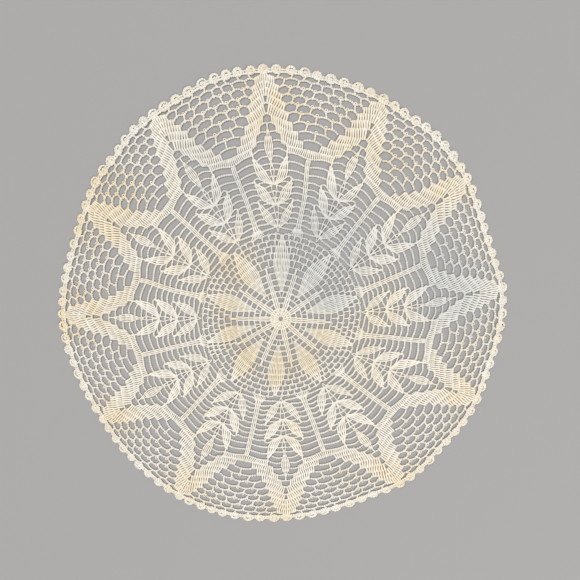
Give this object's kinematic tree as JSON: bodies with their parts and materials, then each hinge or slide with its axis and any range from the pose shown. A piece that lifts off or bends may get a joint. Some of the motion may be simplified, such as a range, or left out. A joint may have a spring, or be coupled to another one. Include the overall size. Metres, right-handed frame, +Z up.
{
  "type": "round crocheted lace doily",
  "caption": "Round lace doily crocheted in ivory cotton, with leaf sprays around a petalled middle, a zigzag band, a net border and a scalloped rim; lies flat.",
  "frame": {"origin": "middle of the doily's bounding box, on the surface it lies on", "axes": "+Z up through the sheet, which lies flat; +Y towards one spray's point, +X to its right seen from above"},
  "size_m": [0.5214, 0.534, 0.0018],
  "materials": {
    "cotton": "matte ivory crochet cotton, worked in stitches, slightly aged"
  },
  "bodies": {
    "root": {"doily": "cotton"}
  },
  "joints": []
}
